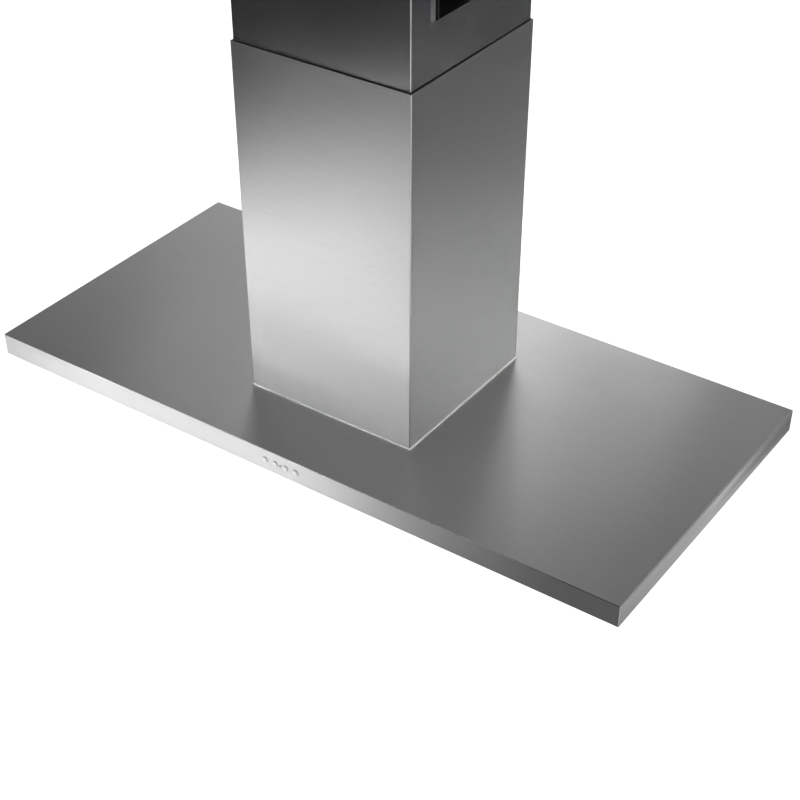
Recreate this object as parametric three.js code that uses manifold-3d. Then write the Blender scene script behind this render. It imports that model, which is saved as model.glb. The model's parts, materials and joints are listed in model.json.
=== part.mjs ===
// An island range hood: a thin stainless canopy hung from the ceiling on a telescopic steel frame, with a
// blower in the foot of a two-stage square flue. It recirculates: the air leaves through windows in the
// upper flue.
//
// Millimetres, +Z up, +Y to the back, -Y is the side with the buttons. The origin is the centre of the
// ceiling plate's top face, so the whole hood hangs below it. Everything that goes up and down with the
// canopy is built in the hood group, whose own zero is the canopy's top face.

import * as THREE from "three";
import { mergeVertices } from "three/addons/utils/BufferGeometryUtils.js";
import Module from "manifold-3d";

const wasm = await Module();
wasm.setup();

// ---- Driving dimensions ------------------------------------------------------------------------------

const GAP = 0.3; // between two pieces that touch
const ROUND = 24; // sides of a round piece

const CANOPY = { width: 1200, depth: 568, height: 40, wall: 1.2, lip: 12, throat: 262 };
const LOWER_FLUE = { side: 312, top: 590, wall: 1 };
const UPPER_FLUE = { side: 305, length: 500, wall: 1, exposed: 190 };
const VENT = { length: 214, height: 70, aboveJoint: 80, corner: 7 };
const COLLAR = { side: 314.4, inner: 306, height: 2.5 };

const PLATE = { side: 297.4, sheet: 2.5, flange: 30, screwSpacing: 220, screwHole: 4.5, cableHole: 14 };
const UPRIGHT = { sheet: 1.5, sideLeg: 58, faceLeg: 30, hole: 4, holePitch: 50, holes: 5 };
const UPPER_UPRIGHT = { outer: 150.5, top: -1, bottom: -490 };
const LOWER_UPRIGHT = { outer: 148.5, bottom: 2.6, top: 610 };

const BOX = { side: 270, bottom: 2.6, top: 278, sheet: 1.2, outlet: 71.6 };
const RING = { side: 300, sheet: 2 };
const SPIGOT = { outer: 73.4, inner: 71.6, top: 308, flange: 164, sheet: 1.5 };
const LOWER_DUCT = { outer: 75, inner: 74, bottom: 284, top: 600 };
const UPPER_DUCT = { outer: 76.8, inner: 75.8, top: -127, bottom: -455 };
const DIVERTER = { width: 172, top: -38, bottom: -124, wall: 2, reach: 150.8, collar: 75, neck: -152 };
const DAMPER = { pinZ: 296, pin: 1.5, bore: 1.9, knuckle: 3.2, radius: 70, sheet: 1 };

const FAN = { y: 34, z: 118, radius: 70, halfWidth: 68, blades: 24, disc: 2 };
const SCROLL = { halfWidth: 76, wall: 2, inlet: 62, wide: 118, narrow: 79, tongue: 115 };
const OUTLET = { halfDepth: 74, top: 276.5 };
const MOTOR = { radius: 36, left: -66, right: -14, shaft: 4 };
const CARTRIDGE = { radius: 72, depth: 36, boss: 12 };

const PANEL = { sheet: 1.2, bottom: -38.5 };
const FILTER = { width: 298, depth: 328, thick: 9, border: 16, front: 40, pitch: 310, clearance: 2 };
const HINGE = { y: FILTER.depth / 2 + FILTER.clearance, z: PANEL.bottom + 1.6 };
const LATCH = { width: 51, depth: 19, travel: 7, thick: 4.7 };
const LAMP = { x: 525, y: 170, hole: 31, flange: 35, tube: 30.2, cup: 27, lens: 26.5, top: -18 };
const BUTTON = { pitch: 20, count: 4, z: -20, radius: 4.8, hole: 5.2, proud: 1.4, travel: 1.2 };

const canopyTop = -(LOWER_FLUE.top + UPPER_FLUE.exposed);
const panelTop = PANEL.bottom + PANEL.sheet;

// ---- Materials ---------------------------------------------------------------------------------------

const metal = (color, roughness) => new THREE.MeshStandardMaterial({ color, roughness, metalness: 1 });
const plain = (color, roughness) => new THREE.MeshStandardMaterial({ color, roughness, metalness: 0 });

const stainless = metal(0xb8b8b8, 0.32);
const polished = metal(0xdcdcdc, 0.15);
const galvanised = metal(0xa9adb0, 0.5);
const aluminium = metal(0xc4c6c8, 0.4);
const blackPlastic = plain(0x0b0b0b, 0.6);
const greyPlastic = plain(0x55585a, 0.55);
const whitePlastic = plain(0xe4e4e0, 0.5);
const diffuser = plain(0xf4f2ea, 0.2);
const carbon = plain(0x1a1a1a, 0.9);

// ---- Solids ------------------------------------------------------------------------------------------

/** A closed three.js geometry as a manifold solid. */
function solid(geometry) {
  geometry.deleteAttribute("normal");
  geometry.deleteAttribute("uv");
  const merged = mergeVertices(geometry, 1e-4);
  return new wasm.Manifold(
    new wasm.Mesh({
      numProp: 3,
      vertProperties: new Float32Array(merged.attributes.position.array),
      triVerts: new Uint32Array(merged.index.array),
    }),
  );
}

/** A manifold solid as a three.js geometry. */
function geometryOf(manifold) {
  const mesh = manifold.getMesh();
  const geometry = new THREE.BufferGeometry();
  geometry.setAttribute("position", new THREE.BufferAttribute(mesh.vertProperties, 3));
  geometry.setIndex(new THREE.BufferAttribute(mesh.triVerts, 1));
  geometry.computeVertexNormals();
  return geometry;
}

const join = (...solids) => solids.reduce((whole, next) => whole.add(next));
const cut = (whole, ...tools) => tools.reduce((rest, tool) => rest.subtract(tool), whole);

/** A box from its span along each axis. */
function block([x0, x1], [y0, y1], [z0, z1]) {
  const box = new THREE.BoxGeometry(x1 - x0, y1 - y0, z1 - z0);
  return solid(box.translate((x0 + x1) / 2, (y0 + y1) / 2, (z0 + z1) / 2));
}

/** A square block centred on the Z axis. */
const post = (side, span) => block([-side / 2, side / 2], [-side / 2, side / 2], span);

/** A round bar along "x", "y" or "z", with its other two coordinates given in axis order. */
function rod(axis, radius, [from, to], [u, v] = [0, 0], sides = ROUND) {
  const bar = new THREE.CylinderGeometry(radius, radius, to - from, sides);
  const middle = (from + to) / 2;
  if (axis === "x") bar.rotateZ(-Math.PI / 2).translate(middle, u, v);
  if (axis === "y") bar.translate(u, middle, v);
  if (axis === "z") bar.rotateX(Math.PI / 2).translate(u, v, middle);
  return solid(bar);
}

/** A solid of revolution about Z, from [radius, z] points that start and end on the axis. */
function turned(points, sides = ROUND) {
  const profile = points.map(([r, z]) => new THREE.Vector2(r, z));
  if (THREE.ShapeUtils.isClockWise(profile)) profile.reverse();
  return solid(new THREE.LatheGeometry(profile, sides).rotateX(Math.PI / 2));
}

/** A flat outline of [x, y] points, raised from one z to another. */
function raised(points, [z0, z1]) {
  const outline = new THREE.Shape(points.map(([x, y]) => new THREE.Vector2(x, y)));
  const flat = new THREE.ExtrudeGeometry(outline, { depth: z1 - z0, bevelEnabled: false });
  return solid(flat.translate(0, 0, z0));
}

/** Stands an outline drawn in Y and Z along the X axis. */
const alongX = (points, span) => raised(points, span).rotate([90, 0, 90]);

/** A pipe on the Z axis. */
const pipe = (outer, inner, [z0, z1]) => cut(rod("z", outer, [z0, z1]), rod("z", inner, [z0 - 1, z1 + 1]));

function piece(name, shape, material) {
  const mesh = new THREE.Mesh(geometryOf(shape), material);
  mesh.name = name;
  return mesh;
}

const CORNERS = [
  ["front_left", -1, -1],
  ["front_right", 1, -1],
  ["back_left", -1, 1],
  ["back_right", 1, 1],
];

// ---- The ceiling side --------------------------------------------------------------------------------

/** A folded steel tray, its flat face against the ceiling, with four screw holes and two cable holes. */
function ceilingPlate() {
  const inner = PLATE.side - 2 * PLATE.sheet;
  const tray = cut(post(PLATE.side, [-PLATE.flange, 0]), post(inner, [-PLATE.flange - 1, -PLATE.sheet]));
  const at = PLATE.screwSpacing / 2;
  const screws = CORNERS.map(([, sx, sy]) => rod("z", PLATE.screwHole, [-4, 1], [sx * at, sy * at], 12));
  const cables = [-1, 1].map((side) => rod("z", PLATE.cableHole, [-4, 1], [0, side * 95], 16));
  return cut(tray, ...screws, ...cables);
}

/** One corner upright, an angle profile with a row of adjusting holes in its wider leg. */
function upright({ outer, bottom, top }, sx, sy, firstHole) {
  const { sheet, sideLeg, faceLeg, hole, holePitch, holes } = UPRIGHT;
  const angle = [
    [outer, outer],
    [outer - faceLeg, outer],
    [outer - faceLeg, outer - sheet],
    [outer - sheet, outer - sheet],
    [outer - sheet, outer - sideLeg],
    [outer, outer - sideLeg],
  ].map(([x, y]) => [sx * x, sy * y]);
  const holeY = sy * (outer - sideLeg / 2);
  const across = [Math.min(0, sx * 200), Math.max(0, sx * 200)];
  const drills = Array.from({ length: holes }, (_, i) =>
    rod("x", hole, across, [holeY, firstHole + i * holePitch], 8),
  );
  return cut(raised(angle, [bottom, top]), ...drills);
}

/** The upper flue, a square tube with an air window in its left and right faces. */
function upperFlue() {
  const { side, length, wall, exposed } = UPPER_FLUE;
  const span = [-length, -0.5];
  const tube = cut(post(side, span), post(side - 2 * wall, [span[0] - 1, 1]));
  const sill = -exposed + VENT.aboveJoint;
  const [y, z, r] = [VENT.length / 2, VENT.height / 2, VENT.corner];
  const outline = new THREE.Shape();
  outline.absarc(y - r, z - r, r, 0, Math.PI / 2);
  outline.absarc(-y + r, z - r, r, Math.PI / 2, Math.PI);
  outline.absarc(-y + r, -z + r, r, Math.PI, Math.PI * 1.5);
  outline.absarc(y - r, -z + r, r, Math.PI * 1.5, Math.PI * 2);
  const punch = alongX(outline.getPoints(4).map(({ x, y }) => [x, y]), [-side, side]);
  return cut(tube, punch.translate([0, 0, sill + z]));
}

/** The T-shaped plastic box that turns the air from the duct to both windows. */
function airDiverter() {
  const { width, top, bottom, wall, reach, collar, neck } = DIVERTER;
  const half = width / 2;
  const body = block([-reach, reach], [-half, half], [bottom, top]);
  const inlet = rod("z", collar, [neck, bottom + wall]);
  const posts = [-60, 60].map((y) => block([-12, 12], [y - 6, y + 6], [top - 1, -PLATE.sheet - GAP]));
  const tunnel = block([-reach - 1, reach + 1], [-half + wall, half - wall], [bottom + wall, top - wall]);
  const bore = rod("z", collar - wall, [neck - 1, bottom + wall + 1]);
  return cut(join(body, inlet, ...posts), tunnel, bore);
}

function ceilingSide() {
  const group = new THREE.Group();
  group.add(piece("ceiling_plate", ceilingPlate(), galvanised));
  for (const [corner, sx, sy] of CORNERS)
    group.add(piece(`upper_upright_${corner}`, upright(UPPER_UPRIGHT, sx, sy, -470), galvanised));
  group.add(piece("upper_flue", upperFlue(), stainless));
  group.add(piece("air_diverter", airDiverter(), blackPlastic));
  const duct = pipe(UPPER_DUCT.outer, UPPER_DUCT.inner, [UPPER_DUCT.bottom, UPPER_DUCT.top]);
  group.add(piece("upper_duct", duct, aluminium));
  return group;
}

// ---- Canopy ------------------------------------------------------------------------------------------

const buttonX = (i) => (i - (BUTTON.count - 1) / 2) * BUTTON.pitch;
const eachButton = (make) => Array.from({ length: BUTTON.count }, (_, i) => make(buttonX(i), i));

/** The folded canopy: a flat top, four sides and a narrow lip turned in at the bottom. */
function canopyShell() {
  const { width, depth, height, wall, lip, throat } = CANOPY;
  const [x, y] = [width / 2, depth / 2];
  const outside = block([-x, x], [-y, y], [-height, 0]);
  const inside = block([-x + wall, x - wall], [-y + wall, y - wall], [-height + wall, -wall]);
  const mouth = block([-x + lip, x - lip], [-y + lip, y - lip], [-height - 1, -height / 2]);
  const riser = post(throat, [-wall - 1, 1]);
  const front = [-y - 1, -y + 5];
  const buttonHoles = eachButton((at) => rod("y", BUTTON.hole, front, [at, BUTTON.z], 16));
  const indicatorHole = rod("y", 1.9, front, [0, BUTTON.z], 12);
  return cut(outside, inside, mouth, riser, ...buttonHoles, indicatorHole);
}

const FILTERS = [
  ["left", -FILTER.pitch],
  ["middle", 0],
  ["right", FILTER.pitch],
];

/** The sheet that closes the canopy from below, with three filter openings and four lamp holes. */
function undersidePanel() {
  const rim = CANOPY.wall + GAP;
  const [x, y] = [CANOPY.width / 2 - rim, CANOPY.depth / 2 - rim];
  const sheet = block([-x, x], [-y, y], [PANEL.bottom, panelTop]);
  const through = [PANEL.bottom - 1, panelTop + 1];
  const halfWidth = FILTER.width / 2 + FILTER.clearance;
  const halfDepth = FILTER.depth / 2 + FILTER.clearance;
  const openings = FILTERS.map(([, at]) =>
    block([at - halfWidth, at + halfWidth], [-halfDepth, halfDepth], through),
  );
  const lampHoles = CORNERS.map(([, sx, sy]) => rod("z", LAMP.hole, through, [sx * LAMP.x, sy * LAMP.y]));
  return cut(sheet, ...openings, ...lampHoles);
}

const squareRing = (outer, inner, span) => cut(post(outer, span), post(inner, [span[0] - 1, span[1] + 1]));

/** A round spot: a flanged cup that clips into the panel from below. */
function lampCup() {
  const { tube, flange, cup, top } = LAMP;
  const seat = PANEL.bottom - GAP;
  return turned([
    [0, top],
    [tube, top],
    [tube, seat],
    [flange, seat],
    [flange - 0.6, seat - 0.9],
    [cup, seat - 0.9],
    [cup, seat + 3],
    [cup - 4, top - 4],
    [0, top - 4],
  ]);
}

/** The lamp's frosted lens, just inside the cup's mouth. */
const lampLens = () => turned([[0, -36.4], [LAMP.lens, -36.4], [LAMP.lens, -38.6], [0, -39]]);

/** A push button: a domed cap that shows, a flange behind the canopy's face, and a stem. */
function button() {
  const { radius, proud } = BUTTON;
  const shape = turned([
    [0, proud],
    [radius - 0.8, proud],
    [radius, proud - 0.5],
    [radius, -1.6],
    [6, -1.6],
    [6, -3],
    [2.5, -3],
    [2.5, -12],
    [0, -12],
  ], 16);
  return shape.rotate([90, 0, 0]);
}

/** The block behind the canopy's front face that guides the buttons. */
function switchHousing() {
  const face = -CANOPY.depth / 2 + 5.5;
  const body = block([-48, 48], [face, face + 18], [-36, -4]);
  const guides = eachButton((x) => rod("y", 3, [face - 1, face + 12], [x, BUTTON.z], 12));
  const lightGuide = rod("y", 1.9, [face - 1, face + 7], [0, BUTTON.z], 12);
  return cut(body, ...guides, lightGuide);
}

function canopy() {
  const group = new THREE.Group();
  group.add(piece("canopy_shell", canopyShell(), stainless));
  group.add(piece("underside_panel", undersidePanel(), stainless));
  const foot = [GAP, GAP + COLLAR.height];
  group.add(piece("flue_base_collar", squareRing(COLLAR.side, COLLAR.inner, foot), stainless));
  for (const [corner, sx, sy] of CORNERS) {
    const cup = piece(`lamp_cup_${corner}`, lampCup(), polished);
    const lens = piece(`lamp_lens_${corner}`, lampLens(), diffuser);
    cup.position.set(sx * LAMP.x, sy * LAMP.y, 0);
    lens.position.copy(cup.position);
    group.add(cup, lens);
  }
  group.add(piece("switch_housing", switchHousing(), blackPlastic));
  const faceY = -CANOPY.depth / 2;
  group.add(piece("indicator_lens", rod("y", 1.6, [faceY - GAP, faceY + 9], [0, BUTTON.z], 12), diffuser));
  group.add(piece("led_driver", block([490, 560], [-70, 70], [-22, -CANOPY.wall - GAP]), whitePlastic));
  eachButton((x, i) => {
    const cap = piece(`button_${i + 1}`, button(), polished);
    cap.position.set(x, faceY, BUTTON.z);
    group.add(cap);
  });
  return group;
}

// ---- Grease filters ----------------------------------------------------------------------------------

const filterSpan = [PANEL.bottom, PANEL.bottom + FILTER.thick];

/** The filter's frame, with two tabs at the back that rest on the panel and a channel for the latch. */
function filterFrame() {
  const { width, depth, border, front } = FILTER;
  const [x, y] = [width / 2, depth / 2];
  const slab = block([-x, x], [-y, y], filterSpan);
  const through = [filterSpan[0] - 1, filterSpan[1] + 1];
  const window = block([-x + border, x - border], [-y + front, y - border], through);
  const tabHeight = [HINGE.z + GAP, HINGE.z + 1.5];
  const tabs = [-90, 90].map((at) => block([at - 12, at + 12], [y - 3, y + 8], tabHeight));
  const channelTop = PANEL.bottom + LATCH.thick + 0.6;
  const reach = LATCH.depth + LATCH.travel + 2;
  const half = LATCH.width / 2 + 0.5;
  const channel = block([-half, half], [-y - 1, -y + reach], [filterSpan[0] - 1, channelTop]);
  return cut(join(slab, ...tabs), window, channel);
}

/** The pack of expanded mesh inside the frame. */
function filterCore() {
  const { width, depth, border, front } = FILTER;
  const x = width / 2 - border - GAP;
  const y = [-depth / 2 + front + GAP, depth / 2 - border - GAP];
  return block([-x, x], y, [filterSpan[0] + 2, filterSpan[0] + 4.5]);
}

/** The sprung latch: a slider with a finger recess and a short tongue towards the canopy's front edge. */
function filterLatch() {
  const front = -FILTER.depth / 2 + 0.6;
  const x = LATCH.width / 2;
  const bottom = PANEL.bottom + 0.2;
  const slider = block([-x, x], [front, front + LATCH.depth], [bottom, bottom + LATCH.thick]);
  const tongue = block([-8, 8], [front - 2, front + 1], [bottom + 1.8, bottom + LATCH.thick]);
  const recess = block([-x + 7, x - 7], [front + 4, front + LATCH.depth - 4], [bottom - 1, bottom + 3.3]);
  return cut(join(slider, tongue), recess);
}

function greaseFilters() {
  const group = new THREE.Group();
  for (const [side, x] of FILTERS) {
    const filter = new THREE.Group();
    filter.position.x = x;
    filter.add(piece(`filter_frame_${side}`, filterFrame(), aluminium));
    filter.add(piece(`filter_mesh_${side}`, filterCore(), aluminium));
    filter.add(piece(`filter_latch_${side}`, filterLatch(), greyPlastic));
    group.add(filter);
  }
  return group;
}

// ---- Blower ------------------------------------------------------------------------------------------

/** The sheet steel box round the blower, open at the bottom to the canopy. */
function blowerBox() {
  const { side, bottom, top, sheet, outlet } = BOX;
  return cut(
    post(side, [bottom, top]),
    post(side - 2 * sheet, [bottom - 1, top - sheet]),
    rod("z", outlet, [top - 5, top + 5]),
  );
}

/** The scroll's outline in the plane across the fan: a spiral that opens into the outlet at the top. */
function scrollOutline(inset, tongue, top) {
  const { wide, narrow } = SCROLL;
  const mouth = OUTLET.halfDepth - inset;
  const steps = 20;
  const [first, last] = [180, 360 + tongue];
  const spiral = Array.from({ length: steps + 1 }, (_, i) => {
    const degrees = first + ((last - first) * i) / steps;
    const radius = wide + ((narrow - wide) * i) / steps - inset;
    const angle = THREE.MathUtils.degToRad(degrees);
    return [FAN.y + radius * Math.cos(angle), FAN.z + radius * Math.sin(angle)];
  });
  return [[-mouth, top], ...spiral, [mouth, top]];
}

/** One half of the plastic scroll: its curved wall, and a side wall with the round inlet. */
function scrollHalf(side) {
  const { halfWidth, wall, inlet, tongue } = SCROLL;
  const span = (from, to) => (side < 0 ? [-to, -from] : [from, to]);
  const outside = alongX(scrollOutline(0, tongue, OUTLET.top), span(0.2, halfWidth));
  const inside = alongX(scrollOutline(wall, tongue + 7, OUTLET.top + 5), span(-1, halfWidth - wall));
  return cut(outside, inside, rod("x", inlet, span(halfWidth - 5, halfWidth + 5), [FAN.y, FAN.z]));
}

/** The double-inlet wheel: a centre disc with its hub, curved-back blades and a ring at each end. */
function impeller() {
  const { radius, halfWidth, blades, disc } = FAN;
  const web = rod("x", radius - 3, [-disc / 2, disc / 2]);
  const hub = rod("x", 10, [-10, 10]);
  const rings = [-1, 1].map((side) => {
    const span = side < 0 ? [-halfWidth, -halfWidth + 2] : [halfWidth - 2, halfWidth];
    return cut(rod("x", radius, span), rod("x", radius - 11, [span[0] - 1, span[1] + 1]));
  });
  const vanes = Array.from({ length: blades }, (_, i) => {
    const vane = new THREE.BoxGeometry(2 * halfWidth - 2, 10, 1);
    vane.rotateX(THREE.MathUtils.degToRad(28)).translate(0, radius - 5.6, 0);
    return solid(vane.rotateX((2 * Math.PI * i) / blades));
  });
  const bore = rod("x", MOTOR.shaft + GAP, [-halfWidth, halfWidth], [0, 0], 12);
  return cut(join(web, hub, ...rings, ...vanes), bore).translate([0, FAN.y, FAN.z]);
}

/** The motor's can, with a blind bore for the shaft. */
function motor() {
  const { radius, left, right, shaft } = MOTOR;
  const can = turned([
    [0, left],
    [22, left],
    [radius - 2, left + 3],
    [radius, left + 8],
    [radius, right - 8],
    [radius - 2, right - 3],
    [14, right],
    [12, right + 2],
    [shaft + 0.5, right + 2],
    [shaft + 0.5, left + 6],
    [0, left + 6],
  ]);
  return can.rotate([0, 90, 0]).translate([0, FAN.y, FAN.z]);
}

/** The spider that carries the motor in the left inlet. */
function motorBracket() {
  const face = [-SCROLL.halfWidth - GAP - 2.5, -SCROLL.halfWidth - GAP];
  const at = [FAN.y, FAN.z];
  const rim = cut(rod("x", 71, face, at), rod("x", SCROLL.inlet + 1, [face[0] - 1, face[1] + 1], at));
  const boss = rod("x", 20, [face[0], MOTOR.left - GAP], at);
  const arms = [90, 210, 330].map((degrees) => {
    const arm = new THREE.BoxGeometry(face[1] - face[0], 8, 60);
    arm.translate((face[0] + face[1]) / 2, 0, 40).rotateX(THREE.MathUtils.degToRad(degrees));
    return solid(arm.translate(0, ...at));
  });
  return join(rim, boss, ...arms);
}

/** A round charcoal cartridge with a grip bar, twisted on over an inlet. */
function charcoalFilter(side) {
  const { radius, depth, boss } = CARTRIDGE;
  const near = side < 0 ? 80 : 77;
  const drum = turned([
    [0, 0],
    [radius - 4, 0],
    [radius, 4],
    [radius, depth],
    [30, depth],
    [26, depth - 8],
    [0, depth - 8],
  ]);
  const grip = block([-28, 28], [-boss / 4, boss / 4], [depth - 9, depth]);
  const turnedOut = join(drum, grip).rotate([0, side * 90, 0]);
  return turnedOut.translate([side * near, FAN.y, FAN.z]);
}

/** The round outlet on top of the blower box, drilled for the damper's pin. */
function outletSpigot() {
  const { outer, inner, top, flange, sheet } = SPIGOT;
  const bottom = BOX.top + GAP;
  const body = join(post(flange, [bottom, bottom + sheet]), rod("z", outer, [bottom, top]));
  const bore = rod("z", inner, [bottom - 1, top + 1]);
  return cut(body, bore, rod("y", DAMPER.bore, [-80, 80], [0, DAMPER.pinZ], 12));
}

/** One half-moon flap of the non-return damper, with its knuckles on the common pin. */
function damperFlap(side) {
  const { pinZ, knuckle, bore, radius, sheet } = DAMPER;
  const disc = rod("z", radius, [pinZ, pinZ + sheet], [0, 0], 2 * ROUND);
  const keep = side < 0 ? [-radius - 1, -knuckle + 0.4] : [knuckle - 0.4, radius + 1];
  const leaf = disc.intersect(block(keep, [-radius, radius], [pinZ - 1, pinZ + 2]));
  const spans = side < 0 ? [[-56, -26], [26, 56]] : [[-24, 24]];
  const others = side < 0 ? [[-24.6, 24.6]] : [[-56.6, -25.4], [25.4, 56.6]];
  const knuckles = spans.map((span) => rod("y", knuckle, span, [0, pinZ], 12));
  const room = others.map((span) => rod("y", knuckle + 0.6, span, [0, pinZ], 12));
  return cut(join(cut(leaf, ...room), ...knuckles), rod("y", bore, [-80, 80], [0, pinZ], 12));
}

function controlBox() {
  const z0 = BOX.top + 2;
  const body = block([-140, -86], [-60, 60], [z0, z0 + 34]);
  const lid = block([-141, -85], [-62, 62], [z0 + 34, z0 + 36]);
  return join(body, lid);
}

/** The gland where the mains lead enters the control box. */
function mainsGland() {
  const z0 = BOX.top + 38 + GAP;
  const gland = turned([
    [0, 0],
    [9, 0],
    [9, 5],
    [7.5, 6],
    [7.5, 13],
    [6, 14],
    [4.4, 14],
    [4.4, 2],
    [0, 2],
  ], 12);
  return gland.translate([-112, 36, z0]);
}

function blower() {
  const group = new THREE.Group();
  const base = squareRing(RING.side, CANOPY.throat, [GAP, GAP + RING.sheet]);
  group.add(piece("frame_base_ring", base, galvanised));
  for (const [corner, sx, sy] of CORNERS)
    group.add(piece(`lower_upright_${corner}`, upright(LOWER_UPRIGHT, sx, sy, 310), galvanised));
  group.add(piece("blower_box", blowerBox(), galvanised));
  group.add(piece("scroll_half_left", scrollHalf(-1), greyPlastic));
  group.add(piece("scroll_half_right", scrollHalf(1), greyPlastic));
  group.add(piece("impeller", impeller(), greyPlastic));
  const shaft = rod("x", MOTOR.shaft, [MOTOR.left + 7, 14], [FAN.y, FAN.z], 12);
  group.add(piece("motor_shaft", shaft, polished));
  group.add(piece("motor", motor(), galvanised));
  group.add(piece("motor_bracket", motorBracket(), galvanised));
  group.add(piece("charcoal_filter_left", charcoalFilter(-1), carbon));
  group.add(piece("charcoal_filter_right", charcoalFilter(1), carbon));
  group.add(piece("run_capacitor", rod("z", 14, [20, 75], [-112, -112], 16), whitePlastic));
  group.add(piece("outlet_spigot", outletSpigot(), blackPlastic));
  group.add(piece("damper_pin", rod("y", DAMPER.pin, [-73.2, 73.2], [0, DAMPER.pinZ], 12), polished));
  group.add(piece("damper_flap_left", damperFlap(-1), blackPlastic));
  group.add(piece("damper_flap_right", damperFlap(1), blackPlastic));
  const duct = pipe(LOWER_DUCT.outer, LOWER_DUCT.inner, [LOWER_DUCT.bottom, LOWER_DUCT.top]);
  group.add(piece("lower_duct", duct, aluminium));
  group.add(piece("control_box", controlBox(), greyPlastic));
  group.add(piece("mains_inlet_gland", mainsGland(), blackPlastic));
  return group;
}

// ---- The hood ----------------------------------------------------------------------------------------

function lowerFlue() {
  const { side, top, wall } = LOWER_FLUE;
  const bottom = COLLAR.height + 2 * GAP;
  return squareRing(side, side - 2 * wall, [bottom, top]);
}

const hood = new THREE.Group();
hood.position.z = canopyTop;
hood.add(canopy(), greaseFilters(), blower(), piece("lower_flue", lowerFlue(), stainless));

const rangeHood = new THREE.Group();
rangeHood.add(ceilingSide(), hood);

export default rangeHood;
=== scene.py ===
"""Looks of the island range hood: brushed sheet steel, filters, lamps, buttons and screws."""

import json
import math

import bmesh
import bpy
from mathutils import Matrix, Vector

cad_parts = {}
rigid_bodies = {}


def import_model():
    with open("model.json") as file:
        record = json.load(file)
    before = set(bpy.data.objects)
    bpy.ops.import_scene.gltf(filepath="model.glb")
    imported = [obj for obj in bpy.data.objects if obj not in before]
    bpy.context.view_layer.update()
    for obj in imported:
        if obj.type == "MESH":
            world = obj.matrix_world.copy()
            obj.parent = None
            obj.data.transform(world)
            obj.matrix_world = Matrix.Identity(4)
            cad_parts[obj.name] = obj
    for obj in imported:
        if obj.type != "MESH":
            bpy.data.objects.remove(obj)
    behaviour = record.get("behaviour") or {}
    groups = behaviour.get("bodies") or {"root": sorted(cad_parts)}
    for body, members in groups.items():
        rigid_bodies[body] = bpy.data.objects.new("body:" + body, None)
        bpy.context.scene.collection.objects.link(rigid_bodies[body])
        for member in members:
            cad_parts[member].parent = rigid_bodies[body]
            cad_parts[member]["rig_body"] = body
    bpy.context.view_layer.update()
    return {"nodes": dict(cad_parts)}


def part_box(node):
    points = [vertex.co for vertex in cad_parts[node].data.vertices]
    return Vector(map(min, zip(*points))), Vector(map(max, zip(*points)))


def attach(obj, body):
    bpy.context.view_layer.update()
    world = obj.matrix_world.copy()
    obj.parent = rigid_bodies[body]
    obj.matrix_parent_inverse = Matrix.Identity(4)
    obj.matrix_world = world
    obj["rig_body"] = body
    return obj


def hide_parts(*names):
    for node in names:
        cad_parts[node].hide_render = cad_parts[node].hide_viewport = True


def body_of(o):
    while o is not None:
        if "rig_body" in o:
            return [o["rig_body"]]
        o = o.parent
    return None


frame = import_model()
NODES = frame["nodes"]
MM = 0.001
SAME = 2e-4  # metres within which two coordinates count as one

CORNERS = ("front_left", "front_right", "back_left", "back_right")
SIDES = ("left", "middle", "right")


def rad(degrees):
    return math.radians(degrees)


# ---- Camera, floor and studio ----------------------------------------

CANOPY_LOW, CANOPY_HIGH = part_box("canopy_shell")
CANOPY_TOP = CANOPY_HIGH.z


CAMERA_PLACE = Vector((1.3053, -1.8230, CANOPY_TOP + 1.5333))
CAMERA_AIM = Vector((-0.44655, 0.63752, -0.62783))
LENS_LENGTH, SENSOR_WIDTH = 73.51, 36  # millimetres
SHIFT_UP = 0.125


def place_camera():
    """A long lens, high over the right front corner."""
    data = bpy.data.cameras.new("camera")
    data.lens = LENS_LENGTH
    data.sensor_width = SENSOR_WIDTH
    data.shift_y = SHIFT_UP
    data.clip_end = 60
    camera = bpy.data.objects.new("camera", data)
    bpy.context.scene.collection.objects.link(camera)
    camera.location = CAMERA_PLACE
    camera.rotation_euler = CAMERA_AIM.to_track_quat("-Z", "Y").to_euler()
    bpy.context.scene.camera = camera


class Tree:
    """A short way to write shader and geometry node trees."""

    def __init__(self, tree):
        self.nodes, self.links, self.tree = tree.nodes, tree.links, tree

    def add(self, kind, inputs=None, **settings):
        node = self.nodes.new(kind)
        for name, value in settings.items():
            setattr(node, name, value)
        for key, value in (inputs or {}).items():
            self.feed(node.inputs[key], value)
        return node

    def feed(self, socket, value):
        if isinstance(value, bpy.types.NodeSocket):
            self.links.new(value, socket)
        elif isinstance(value, bpy.types.Node):
            self.links.new(next(s for s in value.outputs if s.enabled), socket)
        else:
            socket.default_value = value

    def math(self, operation, *values):
        node = self.add("ShaderNodeMath", operation=operation)
        for socket, value in zip(node.inputs, values):
            self.feed(socket, value)
        return node.outputs[0]

    def vector(self, operation, *values):
        node = self.add("ShaderNodeVectorMath", operation=operation)
        for socket, value in zip(node.inputs, values):
            self.feed(socket, value)
        return node.outputs["Value" if operation in ("LENGTH", "DOT_PRODUCT") else "Vector"]

    def xyz(self, **parts):
        return self.add("ShaderNodeCombineXYZ", parts).outputs[0]

    def ramp(self, value, low, high, to_low=0.0, to_high=1.0, smooth=False):
        node = self.add("ShaderNodeMapRange", {"Value": value, "From Min": low, "From Max": high})
        node.interpolation_type = "SMOOTHSTEP" if smooth else "LINEAR"
        node.inputs["To Min"].default_value = to_low
        node.inputs["To Max"].default_value = to_high
        return node.outputs["Result"]

    def mix(self, factor, first, second):
        node = self.add("ShaderNodeMix", data_type="RGBA")
        self.feed(node.inputs["Factor"], factor)
        self.feed(node.inputs[6], first)
        self.feed(node.inputs[7], second)
        return node.outputs[2]


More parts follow.
